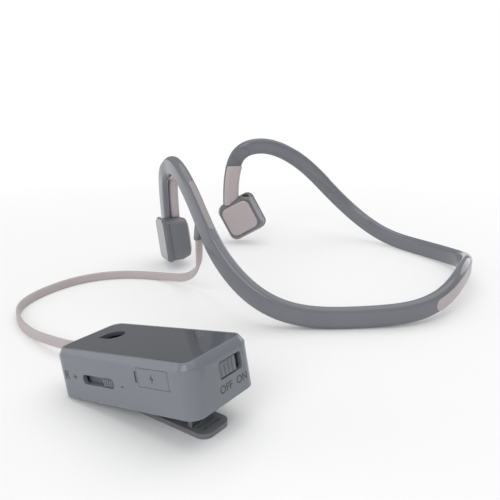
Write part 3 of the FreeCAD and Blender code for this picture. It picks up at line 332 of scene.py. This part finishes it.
def circuit(name, base):
    """Circuit board: lacquer over a grid of paler traces."""
    def varying(shader):
        traces = shader.node("ShaderNodeTexBrick", {"offset": 0.5},
                             {"Vector": shader.coordinates(), "Scale": 220.0, "Mortar Size": 0.03,
                              "Color1": shade(base, 1.0), "Color2": shade(base, 0.8),
                              "Mortar": shade(base, 1.8)})
        cloud = shader.noise(500.0)
        return {"Base Color": traces, "Roughness": 0.35 + cloud.swing(0.1)}
    return finish(name, {"IOR": 1.5}, varying)


# ---------------------------------------------------------------- object and mesh tools
WELD = 0.5 * MICRON                       # corners nearer than this are one
EDGE_ANGLE = 32.0                         # degrees between two faces above which their edge is rounded


def linked(name, data):
    """New object in the scene."""
    item = bpy.data.objects.new(name, data)
    bpy.context.scene.collection.objects.link(item)
    return item


def add_piece(name, data, material, body=HEADSET):
    """New piece with its material and material slot, which rides on a body."""
    data.materials.clear()
    data.materials.append(material)
    piece = linked(name, data)
    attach(piece, body)
    return piece


def evaluated_mesh(item):
    """Mesh of an object as it is drawn, with its modifiers or its curve's thickness."""
    graph = bpy.context.evaluated_depsgraph_get()
    return bpy.data.meshes.new_from_object(item.evaluated_get(graph))


def curve_mesh(curve):
    """Mesh of a curve or of letters."""
    holder = linked(curve.name, curve)
    mesh = evaluated_mesh(holder)
    bpy.data.objects.remove(holder)
    return mesh


def mesh_from(shape, name):
    """Mesh made from a bmesh, which is then freed."""
    mesh = bpy.data.meshes.new(name)
    shape.to_mesh(mesh)
    shape.free()
    return mesh


def thickened(shape, step):
    """Closes a bmesh's open surface: a copy of it stands a step away, with walls between the two."""
    grown = bmesh.ops.extrude_face_region(shape, geom=list(shape.faces))
    moved = [part for part in grown["geom"] if isinstance(part, bmesh.types.BMVert)]
    bmesh.ops.translate(shape, verts=moved, vec=step)
    bmesh.ops.recalc_face_normals(shape, faces=shape.faces)
    return shape


def smooth_faces(mesh):
    """Shades every face smooth."""
    for polygon in mesh.polygons:
        polygon.use_smooth = True


def add_weld(piece):
    weld = piece.modifiers.new("Weld", "WELD")
    weld.merge_threshold = WELD


def add_rounding(piece, radius, segments, angle=EDGE_ANGLE):
    """Welds the facets, rounds the sharp edges and shades the rest smooth."""
    add_weld(piece)
    bevel = piece.modifiers.new("Edges", "BEVEL")
    bevel.width = radius
    bevel.segments = segments
    bevel.limit_method = "ANGLE"
    bevel.angle_limit = math.radians(angle)
    bevel.use_clamp_overlap = True
    normals = piece.modifiers.new("Normals", "WEIGHTED_NORMAL")
    normals.weight = 100
    normals.keep_sharp = False
    smooth_faces(piece.data)


def soft_copy(name, node, material, voxel, passes):
    """Soft piece over a CAD solid: its form remeshed finely, with its edges relaxed."""
    piece = add_piece(name, NODES[node].data.copy(), material)
    add_weld(piece)
    remesh = piece.modifiers.new("Remesh", "REMESH")
    remesh.mode = "VOXEL"
    remesh.voxel_size = voxel
    relax = piece.modifiers.new("Relax", "SMOOTH")
    relax.factor = 0.5
    relax.iterations = passes
    mesh = evaluated_mesh(piece)
    piece.modifiers.clear()
    piece.data = mesh
    smooth_faces(mesh)
    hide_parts(node)
    return piece


def rounded_copy(name, node, material, radius):
    """Piece over a CAD solid with its edges rounded."""
    piece = add_piece(name, NODES[node].data.copy(), material)
    add_rounding(piece, radius, segments=3)
    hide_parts(node)


# ---------------------------------------------------------------- operators
class HEADSET_OT_moulded_parts(bpy.types.Operator):
    """Finish the rigid parts: band, hooks, pods, control box, clip and the parts inside"""
    bl_idname = "headset.moulded_parts"
    bl_label = "Moulded Parts"

    CASE_ANGLE = 40.0         # degrees, in place of EDGE_ANGLE: the shoulder runs smoothly into the walls

    def execute(self, context):
        look = context.scene.headset_finishes
        radius = context.scene.headset_sizes.edge_radius
        band = moulded("Band plastic", look.band, 0.11, grain=3 * MICRON)
        pod_cover = moulded("Pod cover", look.pod_cover, 0.06, grain=1 * MICRON)
        pod_housing = moulded("Pod housing", look.pod_housing, 0.22, grain=1 * MICRON)
        case = moulded("Box case", look.case, 0.18, grain=4 * MICRON)
        cover = moulded("Box cover", look.cover, 0.03, grain=0.3 * MICRON, mottle=0.02)
        knob = moulded("Knob plastic", look.knob, 0.35)
        clip = moulded("Clip plastic", look.clip, 0.28)
        dark = moulded("Dark matt", look.dark, 0.60)
        steel = metal("Steel", look.steel, 0.30, squeeze=(1.0, 1.0, 0.08))
        track = moulded("Slider track", look.track, 0.40)
        copper = metal("Copper wire", look.copper, 0.35, squeeze=(0.2, 0.2, 1.0))
        board = circuit("Circuit board", look.board)
        finishes = {
            "rear_band": band, "cord_gland": band, "box_case": case, "charge_flap": case, "box_cover": cover,
            "power_slider": knob, "clip_lever": clip, "clip_bracket": clip, "band_core_wire": steel,
            "clip_pin": steel, "clip_screws": steel, "clip_spring": steel, "charge_socket": steel,
            "circuit_board": board, "battery": dark, "microphone": dark, "power_switch": track,
        }
        paired = {
            "hook_shell": band, "pod_cover": pod_cover, "pod_housing": pod_housing, "volume_slider": knob,
            "volume_pot": track, "transducer_yoke": steel, "transducer_magnet": steel,
            "transducer_coil": copper,
        }
        for side in SIDES:
            finishes.update({side + "_" + part: material for part, material in paired.items()})
        for name, material in finishes.items():
            node = NODES[name]
            node.data.materials.clear()
            node.data.materials.append(material)
            angle = self.CASE_ANGLE if name == "box_case" else EDGE_ANGLE
            add_rounding(node, radius, segments=2, angle=angle)
        return {"FINISHED"}


class HEADSET_OT_soft_parts(bpy.types.Operator):
    """Make the silicone pads, hook liners, inlays and the strain relief"""
    bl_idname = "headset.soft_parts"
    bl_label = "Soft Parts"

    LEG_END = 1.0 * MM        # stretch at each end of a liner whose middle gives the leg's direction
    DRAWN_OUT = 6.0 * MM      # stretch below the liner's top that is drawn out
    PAD_FRONT = 1.0 * MM      # depth of the pad's front that is crowned

    def execute(self, context):
        look = context.scene.headset_finishes
        sizes = context.scene.headset_sizes
        soft = silicone("Silicone", look.silicone)
        strip = silicone("Inlay silicone", look.inlay)
        for side in SIDES:
            pad = soft_copy(side + "_pad_skin", side + "_contact_pad", soft, voxel=0.3 * MM, passes=3)
            self.crown(pad, side, sizes.pad_crown)
            liner = soft_copy(side + "_liner_skin", side + "_hook_liner", soft, voxel=0.35 * MM, passes=5)
            if side == "left":
                self.lengthen(liner, sizes.liner_extra)
            rounded_copy(side + "_hook_inlay_skin", side + "_hook_inlay", strip, 0.25 * MM)
        rounded_copy("rear_inlay_skin", "rear_band_inlay", soft, 0.3 * MM)
        relief = silicone("Relief rubber", look.cord, 0.55)
        rounded_copy("relief_skin", "box_strain_relief", relief, 0.3 * MM)
        return {"FINISHED"}

    def lengthen(self, liner, extra):
        """Carries the liner's upper end on along the leg, up to the hook's inner curve."""
        places = [vertex.co for vertex in liner.data.vertices]
        bottom, top = min(place.z for place in places), max(place.z for place in places)
        ends = []
        for low, high in ((bottom, bottom + self.LEG_END), (top - self.LEG_END, top)):
            near = [place for place in places if low <= place.z <= high]
            ends.append(sum(near, Vector()) / len(near))
        along = (ends[1] - ends[0]).normalized()
        for vertex in liner.data.vertices:
            share = max(0.0, 1.0 - (top - vertex.co.z) / self.DRAWN_OUT)
            vertex.co += along * extra * share

    def crown(self, pad, side, rise):
        """Raises the pad's middle and lowers its rim, along the way it faces."""
        centre, facing = pad_face(side)
        reach = max((vertex.co - centre).length for vertex in pad.data.vertices)
        for vertex in pad.data.vertices:
            away = vertex.co - centre
            depth = -away.dot(facing)
            beside = (away + facing * depth).length / reach
            if beside < 1.0:
                share = max(0.0, 1.0 - depth / self.PAD_FRONT)
                vertex.co += facing * rise * share * (0.5 - beside ** 2)


class HEADSET_OT_cord(bpy.types.Operator):
    """Lay the flat cord from the left hook round to the control box"""
    bl_idname = "headset.cord"
    bl_label = "Flat Cord"

    # The cord's turning points, from the gland to the strain relief, from the headset's origin.
    ROUTE = (
        (0.06628, -0.02565, 0.03105), (0.0632, -0.0275, 0.0233), (0.0560, -0.0325, 0.0135),
        (0.0485, -0.0440, 0.0048), (0.0442, -0.0600, 0.0020), (0.0495, -0.0790, 0.0020),
        (0.0630, -0.0925, 0.0020), (0.0830, -0.0970, 0.0020), (0.1035, -0.0940, 0.0020),
        (0.1165, -0.0805, 0.0020), (0.1230, -0.0660, 0.0021), (0.1274, -0.0518, 0.0040),
        (0.1284, -0.0390, 0.0046), (0.1298, -0.0298, 0.0064),
    )
    TILT = (40.0, 40.0, 30.0, 14.0)          # degrees, for the first points; the rest stands on edge
    LENGTH = 0.2040
    EDGE_STEPS = 6                           # of each round edge of the section

    def execute(self, context):
        look = context.scene.headset_finishes
        sizes = context.scene.headset_sizes
        curve = bpy.data.curves.new("flat_cord_line", "CURVE")
        curve.dimensions = "3D"
        curve.twist_mode = "Z_UP"
        spline = curve.splines.new("NURBS")
        spline.points.add(len(self.ROUTE) - 1)
        for point, place in zip(spline.points, self.ROUTE):
            point.co = (*(ORIGIN + Vector(place)), 1.0)
        for point, tilt in zip(spline.points, self.TILT):
            point.tilt = math.radians(tilt)
        spline.order_u = 3
        spline.use_endpoint_u = True
        spline.resolution_u = 12
        curve.bevel_mode = "OBJECT"
        curve.bevel_object = self.section(sizes.cord_width, sizes.cord_thickness)
        curve.use_fill_caps = True
        cord = add_piece("flat_cord_skin", curve, silicone("Cord rubber", look.cord, 0.50))
        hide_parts("flat_cord")
        tuple(ORIGIN + Vector(self.ROUTE[0]))
        return {"FINISHED"}

    def section(self, width, thickness):
        """Profile of the cord: a flat strip with round edges."""
        half, radius = width / 2, thickness / 2
        outline = []
        for end in (1, -1):
            for step in range(self.EDGE_STEPS + 1):
                turn = math.pi * (step / self.EDGE_STEPS - 0.5 * end)
                x = -radius * math.sin(turn)
                y = end * (half - radius) + radius * math.cos(turn)
                outline.append((x, y, 0.0))
        profile = bpy.data.curves.new("cord_section", "CURVE")
        profile.dimensions = "2D"
        spline = profile.splines.new("BEZIER")
        spline.bezier_points.add(len(outline) - 1)
        for point, place in zip(spline.bezier_points, outline):
            point.co = place
            point.handle_left_type = point.handle_right_type = "VECTOR"
        spline.use_cyclic_u = True
        section = linked("cord_section", profile)
        section.hide_render = True
        section.hide_viewport = True
        return section


class HEADSET_OT_signs(bpy.types.Operator):
    """Print the volume, power and charging signs on the control box"""
    bl_idname = "headset.signs"
    bl_label = "Printed Signs"

    CAPITAL = 0.70            # height of a capital letter, as a share of the letters' size
    BOLDER = 0.012            # widening of the strokes, as a share of that size
    SMALLER = 0.8             # height of the power signs against the volume signs
    # Name, sign, distance along its wall and height, in millimetres. A side's first sign is its own letter.
    VOLUME_SIGNS = (("", None, 5.2, 7.6), ("_loud", "+", 9.1, 7.3), ("_quiet", "-", 30.2, 7.2))
    POWER_SIGNS = (("sign_off", "OFF", 13.4, 4.3), ("sign_on", "ON", 20.4, 4.3))
    BOLT_AT = (43.0 * MM, 0.0, 10.7 * MM)
    BOLT = ((0.25, 1.45), (-0.75, -0.15), (-0.1, -0.15), (-0.25, -1.45), (0.75, 0.2), (0.1, 0.2))

    def execute(self, context):
        sizes = context.scene.headset_sizes
        ink = printed("Ink", context.scene.headset_finishes.ink)
        tall, depth = sizes.sign_height, sizes.ink_depth
        for side, y, right in (("right", 0.0, ALONG), ("left", BOX_WIDTH, -ALONG)):
            for ending, text, x, z in self.VOLUME_SIGNS:
                letters = self.letters(text or side[0].upper(), tall, depth)
                self.stamp("sign_" + side + ending, letters, (x * MM, y, z * MM), right, ink)
        for name, text, y, z in self.POWER_SIGNS:
            letters = self.letters(text, tall * self.SMALLER, depth)
            self.stamp(name, letters, (BOX_LENGTH, y * MM, z * MM), ACROSS, ink)
        self.stamp("charge_sign", self.bolt(depth), self.BOLT_AT, ALONG, ink, "charge_flap")
        return {"FINISHED"}

    def stamp(self, name, mesh, place, right, ink, body=HEADSET):
        """Puts a flat sign upright on a wall of the box. It reads towards the right."""
        matrix = Matrix((right, UP, right.cross(UP))).transposed().to_4x4()
        matrix.translation = place
        mesh.transform(BOX @ matrix)
        add_piece(name, mesh, ink, body)

    def letters(self, text, height, depth):
        """Letters about their middle. The height is a capital's."""
        words = bpy.data.curves.new("letters", "FONT")
        words.body = text
        words.align_x = "CENTER"
        words.align_y = "CENTER"
        words.size = height / self.CAPITAL
        words.offset = self.BOLDER * words.size
        words.extrude = depth
        return curve_mesh(words)

    def bolt(self, depth):
        """Charging sign: a plain lightning bolt, with its corners given in millimetres."""
        shape = bmesh.new()
        shape.faces.new([shape.verts.new((x * MM, y * MM, -depth)) for x, y in self.BOLT])
        return mesh_from(thickened(shape, Vector((0, 0, 2 * depth))), "charge_sign")


class HEADSET_OT_microphone_mesh(bpy.types.Operator):
    """Make the wire mesh under the microphone's hole"""
    bl_idname = "headset.microphone_mesh"
    bl_label = "Microphone Mesh"

    MIDDLE = Vector((11.5, 15.3, 13.95)) * MM        # in the box's frame
    RADIUS = 5.3 * MM
    WIRE_RADIUS = 0.13 * MM
    WAVE = 0.06 * MM                                 # rise and fall of a wire from one crossing to the next

    def execute(self, context):
        pitch = context.scene.headset_sizes.mesh_pitch
        curve = bpy.data.curves.new("microphone_weave", "CURVE")
        curve.dimensions = "3D"
        curve.bevel_depth = self.WIRE_RADIUS
        curve.bevel_resolution = 2
        curve.use_fill_caps = True
        count = int(self.RADIUS / pitch)
        for across in (False, True):
            for number in range(-count, count + 1):
                self.strand(curve, number, across, pitch)
        mesh = curve_mesh(curve)
        mesh.transform(BOX)
        smooth_faces(mesh)
        wire = moulded("Mesh", context.scene.headset_finishes.dark, 0.45, ior=1.15)
        piece = add_piece("microphone_weave", mesh, wire)
        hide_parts("microphone_mesh")
        return {"FINISHED"}

    def strand(self, curve, number, across, pitch):
        """One wavy wire, from edge to edge of the round mesh."""
        offset = number * pitch
        reach = math.sqrt(max(self.RADIUS ** 2 - offset ** 2, 0.0))
        crossings = int(reach / pitch)
        if crossings < 1:
            return
        spline = curve.splines.new("POLY")
        spline.points.add(2 * crossings)
        for point, step in zip(spline.points, range(-crossings, crossings + 1)):
            x, y = (offset, step * pitch) if across else (step * pitch, offset)
            height = -self.WAVE if (step + number) % 2 else self.WAVE
            point.co = (*(self.MIDDLE + Vector((x, y, height))), 1.0)


class HEADSET_OT_dark_inserts(bpy.types.Operator):
    """Set the screen of the right pod's sound port, and the blind behind the power slot"""
    bl_idname = "headset.dark_inserts"
    bl_label = "Dark Inserts"

    PORT_AT = (2.7 * MM, 13.2 * MM, -4.0 * MM)       # from the pad's middle: sideways, up and outwards
    PORT_WIDTH = 4.2 * MM
    PORT_HEIGHT = 3.4 * MM
    PORT_CELLS = 12
    PORT_STANDS = 0.05 * MM                          # out of the housing's surface
    BLIND_LOW = Vector((54.36, 10.0, 5.0)) * MM      # between the power switch and its slider
    BLIND_HIGH = Vector((54.44, 24.8, 12.9)) * MM
    BLIND_CORNER = 0.72 * MM

    def execute(self, context):
        look = context.scene.headset_finishes
        port = moulded("Port screen", look.dark, 0.60)
        add_piece("right_port_screen", self.port(), port)
        blind = moulded("Slot blind", look.track, 0.50)
        add_piece("power_slot_blind", self.blind(), blind)
        return {"FINISHED"}

    def port(self):
        """Oval screen laid on the housing's top corner. A square grid is drawn in to an oval."""
        housing = NODES["right_pod_housing"]
        place, facing = pad_face("right")
        up = (UP - facing * facing.z).normalized()
        sideways = up.cross(facing)
        for axis, distance in zip((sideways, up, facing), self.PORT_AT):
            place += axis * distance
        normal = housing.closest_point_on_mesh(place)[2]
        across = normal.cross(sideways).normalized()
        along = across.cross(normal)
        shape = bmesh.new()
        bmesh.ops.create_grid(shape, x_segments=self.PORT_CELLS, y_segments=self.PORT_CELLS, size=1.0)
        for vertex in shape.verts:
            x, y = vertex.co.x, vertex.co.y
            spot = (place + along * x * math.sqrt(1 - y * y / 2) * self.PORT_WIDTH / 2
                    + across * y * math.sqrt(1 - x * x / 2) * self.PORT_HEIGHT / 2)
            _, near, out, _ = housing.closest_point_on_mesh(spot)
            vertex.co = near + out * self.PORT_STANDS
        return mesh_from(thickened(shape, -normal * 2 * self.PORT_STANDS), "right_port_screen")

    def blind(self):
        """Thin blind that closes the view into the case past the power slider."""
        size = self.BLIND_HIGH - self.BLIND_LOW
        shape = bmesh.new()
        bmesh.ops.create_cube(shape, size=1.0)
        for vertex in shape.verts:
            share = vertex.co + Vector((0.5, 0.5, 0.5))
            vertex.co = BOX @ (self.BLIND_LOW + share * size)
        corners = [edge for edge in shape.edges if edge.calc_length() < 2 * size.x]
        bmesh.ops.bevel(shape, geom=corners, offset=self.BLIND_CORNER, segments=4, affect="EDGES",
                        profile=0.5)
        return mesh_from(shape, "power_slot_blind")


class HEADSET_OT_stage(bpy.types.Operator):
    """Set the floor, world, lamps and camera"""
    bl_idname = "headset.stage"
    bl_label = "Stage"

    # Places are from the headset's origin.
    CAMERA_AT = (0.27220, 0.10400, 0.09697)
    CAMERA_AZIMUTH = 117.139                 # degrees round from the front
    CAMERA_ELEVATION = 16.363                # degrees above the level
    FLOOR_REACH = 6.0                        # from the middle to the edges
    SHADED = (0.14, 0.02, 0.0)               # middle of the part of the floor that keeps its own colour
    SHADED_RADIUS = 0.06
    FADE = 0.36                              # distance past that radius over which the floor turns white
    LAMPS = (                                # name, place and diameter
        ("Key", (-0.14, 0.05, 0.91), 1.4),
        ("Fill", (0.75, 0.05, 0.45), 0.6),
        ("Rim", (-0.87, 0.32, 0.27), 0.6),
        ("Side", (0.50, -0.87, 0.27), 0.6),
    )

    def execute(self, context):
        look = context.scene.headset_stage
        context.scene.view_settings.view_transform = "Standard"
        context.scene.camera = self.camera(look)
        self.floor(look)
        context.scene.world = self.world(look)
        for name, place, diameter in self.LAMPS:
            self.lamp(name, place, diameter, getattr(look, name.lower() + "_power"))
        return {"FINISHED"}

    def aim(self, item, place, direction):
        """Puts a camera or lamp in its place and turns it to look along a direction."""
        item.location = place
        item.rotation_mode = "QUATERNION"
        item.rotation_quaternion = direction.to_track_quat("-Z", "Y")

    def camera(self, look):
        data = bpy.data.cameras.new("Camera")
        data.lens = look.lens
        data.sensor_width = 36.0
        data.clip_start = 0.01
        data.clip_end = 50.0
        turn = math.radians(self.CAMERA_AZIMUTH)
        rise = math.radians(self.CAMERA_ELEVATION)
        back = Vector((math.sin(turn) * math.cos(rise), -math.cos(turn) * math.cos(rise), math.sin(rise)))
        camera = linked("Camera", data)
        self.aim(camera, ORIGIN + Vector(self.CAMERA_AT), -back)
        return camera

    def floor(self, look):
        """Matt floor that camera and mirror rays see white far from the object."""
        square = ((-1, -1, 0), (1, -1, 0), (1, 1, 0), (-1, 1, 0))
        corners = [Vector(corner) * self.FLOOR_REACH for corner in square]
        mesh = bpy.data.meshes.new("Floor")
        mesh.from_pydata(corners, [], [(0, 1, 2, 3)])
        material = bpy.data.materials.new("Floor")
        material.use_nodes = True
        shader = Shader(material.node_tree)
        matt = shader.node("ShaderNodeBsdfPrincipled", None, {
            "Base Color": shader.mottled(shader.noise(900.0), look.floor, 0.995, 1.005),
            "Roughness": 0.7, "Specular IOR Level": 0.2})
        white = shader.node("ShaderNodeEmission", None, {"Color": (1, 1, 1, 1), "Strength": 1.0})
        place = shader.node("ShaderNodeTexCoord", output="Object")
        middle = tuple(ORIGIN + Vector(self.SHADED))
        away = shader.node("ShaderNodeVectorMath", {"operation": "DISTANCE"}, {0: place, 1: middle},
                           output="Value")
        far = ((away - self.SHADED_RADIUS) / self.FADE).clamped()
        surface = shader.node("ShaderNodeMixShader", None, {
            0: (shader.ray("Camera") + shader.ray("Glossy")) * far, 1: matt, 2: white})
        shader.node("ShaderNodeOutputMaterial", None, {"Surface": surface})
        mesh.materials.append(material)
        floor = linked("Floor", mesh)

    def world(self, look):
        """Even light: white behind the object, and dimmer in its reflections."""
        world = bpy.data.worlds.new("Studio")
        world.use_nodes = True
        shader = Shader(world.node_tree)
        shown = (shader.ray("Camera") + shader.ray("Transmission")).clamped()
        mirrored = shader.ray("Glossy")
        level = shown + (1 - shown) * (mirrored * look.reflected_level + (1 - mirrored) * look.world_level)
        sky = shader.node("ShaderNodeBackground", None, {"Color": (1, 1, 1, 1), "Strength": level})
        shader.node("ShaderNodeOutputWorld", None, {"Surface": sky})
        return world

    def lamp(self, name, place, diameter, energy):
        """Round lamp that shines at the headset's origin."""
        data = bpy.data.lights.new(name, "AREA")
        data.shape = "DISK"
        data.size = diameter
        data.energy = energy
        self.aim(linked(name, data), ORIGIN + Vector(place), -Vector(place))


class HEADSET_PT_panel(bpy.types.Panel):
    """Buttons for the headset's looks"""
    bl_idname = "HEADSET_PT_panel"
    bl_label = "Headset"
    bl_space_type = "VIEW_3D"
    bl_region_type = "UI"
    bl_category = "Headset"

    def draw(self, context):
        for operator in OPERATORS:
            self.layout.operator(operator.bl_idname)
        for name in GROUPS:
            group = getattr(context.scene, name)
            box = self.layout.box()
            for setting in group.__annotations__:
                box.prop(group, setting)


# ---------------------------------------------------------------- registration and run
OPERATORS = (
    HEADSET_OT_stage,
    HEADSET_OT_moulded_parts,
    HEADSET_OT_soft_parts,
    HEADSET_OT_cord,
    HEADSET_OT_signs,
    HEADSET_OT_microphone_mesh,
    HEADSET_OT_dark_inserts,
)
GROUPS = {
    "headset_finishes": HeadsetFinishes,
    "headset_sizes": HeadsetSizes,
    "headset_stage": HeadsetStage,
}
CLASSES = (*GROUPS.values(), *OPERATORS, HEADSET_PT_panel)


def register():
    for made in CLASSES:
        bpy.utils.register_class(made)
    for name, group in GROUPS.items():
        setattr(bpy.types.Scene, name, PointerProperty(type=group))


def unregister():
    for name in GROUPS:
        delattr(bpy.types.Scene, name)
    for made in reversed(CLASSES):
        bpy.utils.unregister_class(made)


def main():
    register()
    for operator in OPERATORS:
        family, name = operator.bl_idname.split(".")
        getattr(getattr(bpy.ops, family), name)()
    bpy.context.view_layer.update()


if __name__ == "__main__":
    main()
